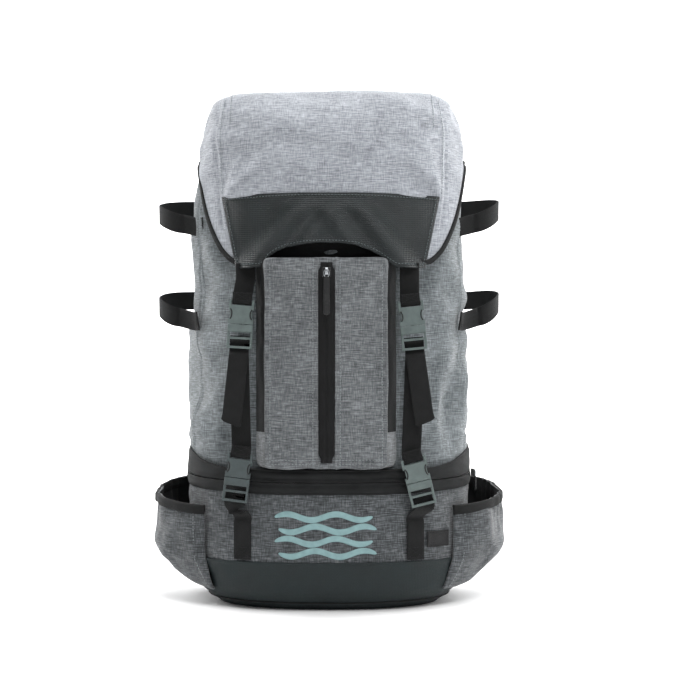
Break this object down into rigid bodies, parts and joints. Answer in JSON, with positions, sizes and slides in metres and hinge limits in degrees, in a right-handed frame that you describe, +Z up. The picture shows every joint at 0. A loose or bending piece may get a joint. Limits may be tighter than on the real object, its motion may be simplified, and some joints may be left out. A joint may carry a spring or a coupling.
{
  "type": "tackle backpack",
  "caption": "Soft fishing backpack with a buckled flap lid, front zip pocket, tilting tackle bay, side pockets, rod loops and padded shoulder straps",
  "frame": {"origin": "the middle of the pack's flat base, where it stands on the floor", "axes": "X to the right as seen from the front, Y from the front to the wearer's back, Z up"},
  "size_m": [0.3782, 0.2687, 0.55],
  "materials": {
    "lid_cloth": "matte",
    "pack_cloth": "matte",
    "lower_cloth": "matte",
    "slate_panel": "satin",
    "base_cloth": "matte",
    "webbing": "matte",
    "zip_cloth": "matte",
    "buckle_plastic": "satin",
    "slider_metal": "satin",
    "stiff_board": "matte",
    "padding": "matte",
    "label_cloth": "matte"
  },
  "bodies": {
    "lower_pack": {"base_tray": "base_cloth", "base_board": "stiff_board", "lower_shell": "lower_cloth", "lower_zip_tape": "zip_cloth", "side_pocket_left": "pack_cloth", "side_pocket_right": "pack_cloth", "pocket_binding_left": "webbing", "pocket_binding_right": "webbing", "woven_label": "label_cloth", "lower_strap_left": "webbing", "lower_strap_right": "webbing"},
    "upper_pack": {"main_shell": "pack_cloth", "upper_zip_tape": "zip_cloth", "front_pocket": "pack_cloth", "front_zip_tape": "zip_cloth", "back_panel": "padding", "frame_sheet": "stiff_board", "grab_handle": "webbing", "rod_loop_upper_left": "webbing", "rod_loop_upper_right": "webbing", "rod_loop_lower_left": "webbing", "rod_loop_lower_right": "webbing", "main_strap_left": "webbing", "main_strap_right": "webbing", "lower_left_female": "buckle_plastic", "lower_right_female": "buckle_plastic", "shoulder_webbing_left": "webbing", "shoulder_webbing_right": "webbing"},
    "lid": {"lid_shell": "lid_cloth", "lid_binding": "webbing", "lid_panel": "slate_panel", "lid_strap_left": "webbing", "lid_strap_right": "webbing", "upper_left_female": "buckle_plastic", "upper_right_female": "buckle_plastic"},
    "upper_left_catch": {"upper_left_male": "buckle_plastic", "strap_tail_left": "webbing"},
    "upper_left_prong_left": {"upper_left_prong_left": "buckle_plastic"},
    "upper_left_prong_right": {"upper_left_prong_right": "buckle_plastic"},
    "upper_right_catch": {"upper_right_male": "buckle_plastic", "strap_tail_right": "webbing"},
    "upper_right_prong_left": {"upper_right_prong_left": "buckle_plastic"},
    "upper_right_prong_right": {"upper_right_prong_right": "buckle_plastic"},
    "lower_left_catch": {"lower_left_male": "buckle_plastic"},
    "lower_left_prong_left": {"lower_left_prong_left": "buckle_plastic"},
    "lower_left_prong_right": {"lower_left_prong_right": "buckle_plastic"},
    "lower_right_catch": {"lower_right_male": "buckle_plastic"},
    "lower_right_prong_left": {"lower_right_prong_left": "buckle_plastic"},
    "lower_right_prong_right": {"lower_right_prong_right": "buckle_plastic"},
    "front_zip_slider": {"front_zip_slider": "slider_metal"},
    "front_zip_pull": {"front_zip_pull": "webbing"},
    "lower_zip_slider": {"lower_zip_slider": "slider_metal"},
    "lower_zip_pull": {"lower_zip_pull": "webbing"},
    "carry_strap_left": {"shoulder_strap_left": "padding", "ladder_lock_left": "buckle_plastic"},
    "carry_strap_right": {"shoulder_strap_right": "padding", "ladder_lock_right": "buckle_plastic"}
  },
  "joints": [
    {"name": "upper_tilt", "type": "hinge", "parent": "lower_pack", "child": "upper_pack", "pos_m": [0, 0.0945, 0.14336], "axis": [-1, 0, 0], "range_deg": [0, 50]},
    {"name": "lid_open", "type": "hinge", "parent": "upper_pack", "child": "lid", "pos_m": [0, 0.0945, 0.478], "axis": [-1, 0, 0], "range_deg": [0, 105]},
    {"name": "upper_left_release", "type": "slide", "parent": "upper_pack", "child": "upper_left_catch", "axis": [-0.0645, 0, -0.9979], "range_m": [0, 0.028], "deforming": ["main_strap_left"]},
    {"name": "upper_left_press_left", "type": "slide", "parent": "upper_left_catch", "child": "upper_left_prong_left", "axis": [0.9979, 0, -0.0645], "range_m": [0, 0.0018], "stiffness_N_per_m": 400},
    {"name": "upper_left_press_right", "type": "slide", "parent": "upper_left_catch", "child": "upper_left_prong_right", "axis": [-0.9979, 0, 0.0645], "range_m": [0, 0.0018], "stiffness_N_per_m": 400},
    {"name": "upper_right_release", "type": "slide", "parent": "upper_pack", "child": "upper_right_catch", "axis": [0.0958, 0, -0.9954], "range_m": [0, 0.028], "deforming": ["main_strap_right"]},
    {"name": "upper_right_press_left", "type": "slide", "parent": "upper_right_catch", "child": "upper_right_prong_left", "axis": [0.9954, 0, 0.0958], "range_m": [0, 0.0018], "stiffness_N_per_m": 400},
    {"name": "upper_right_press_right", "type": "slide", "parent": "upper_right_catch", "child": "upper_right_prong_right", "axis": [-0.9954, 0, -0.0958], "range_m": [0, 0.0018], "stiffness_N_per_m": 400},
    {"name": "lower_left_release", "type": "slide", "parent": "lower_pack", "child": "lower_left_catch", "axis": [-0.1323, 0, -0.9912], "range_m": [0, 0.028], "deforming": ["lower_strap_left"]},
    {"name": "lower_left_press_left", "type": "slide", "parent": "lower_left_catch", "child": "lower_left_prong_left", "axis": [0.9912, 0, -0.1323], "range_m": [0, 0.0018], "stiffness_N_per_m": 400},
    {"name": "lower_left_press_right", "type": "slide", "parent": "lower_left_catch", "child": "lower_left_prong_right", "axis": [-0.9912, 0, 0.1323], "range_m": [0, 0.0018], "stiffness_N_per_m": 400},
    {"name": "lower_right_release", "type": "slide", "parent": "lower_pack", "child": "lower_right_catch", "axis": [0.2419, 0, -0.9703], "range_m": [0, 0.028], "deforming": ["lower_strap_right"]},
    {"name": "lower_right_press_left", "type": "slide", "parent": "lower_right_catch", "child": "lower_right_prong_left", "axis": [0.9703, 0, 0.2419], "range_m": [0, 0.0018], "stiffness_N_per_m": 400},
    {"name": "lower_right_press_right", "type": "slide", "parent": "lower_right_catch", "child": "lower_right_prong_right", "axis": [-0.9703, 0, -0.2419], "range_m": [0, 0.0018], "stiffness_N_per_m": 400},
    {"name": "front_zip_run", "type": "slide", "parent": "upper_pack", "child": "front_zip_slider", "axis": [0, 0, -1], "range_m": [0, 0.185]},
    {"name": "front_zip_pull_swing", "type": "hinge", "parent": "front_zip_slider", "child": "front_zip_pull", "pos_m": [-0.0025, -0.1404, 0.3505], "axis": [-1, 0, 0], "range_deg": [0, 120]},
    {"name": "lower_zip_run", "type": "slide", "parent": "lower_pack", "child": "lower_zip_slider", "axis": [0, 1, 0], "range_m": [0, 0.055]},
    {"name": "lower_zip_pull_swing", "type": "hinge", "parent": "lower_zip_slider", "child": "lower_zip_pull", "pos_m": [0.1581, -0.03, 0.14], "axis": [0, -1, 0], "range_deg": [0, 100]},
    {"name": "carry_strap_left_swing", "type": "hinge", "parent": "upper_pack", "child": "carry_strap_left", "pos_m": [-0.066, 0.108, 0.452], "axis": [1, 0, 0], "range_deg": [0, 50], "deforming": ["shoulder_webbing_left"]},
    {"name": "carry_strap_right_swing", "type": "hinge", "parent": "upper_pack", "child": "carry_strap_right", "pos_m": [0.066, 0.108, 0.452], "axis": [1, 0, 0], "range_deg": [0, 50], "deforming": ["shoulder_webbing_right"]}
  ],
  "couplings": [
    {"joint": "upper_left_press_right", "follows": "upper_left_press_left", "ratio": 1},
    {"joint": "upper_right_press_right", "follows": "upper_right_press_left", "ratio": 1},
    {"joint": "lower_left_press_right", "follows": "lower_left_press_left", "ratio": 1},
    {"joint": "lower_right_press_right", "follows": "lower_right_press_left", "ratio": 1}
  ]
}
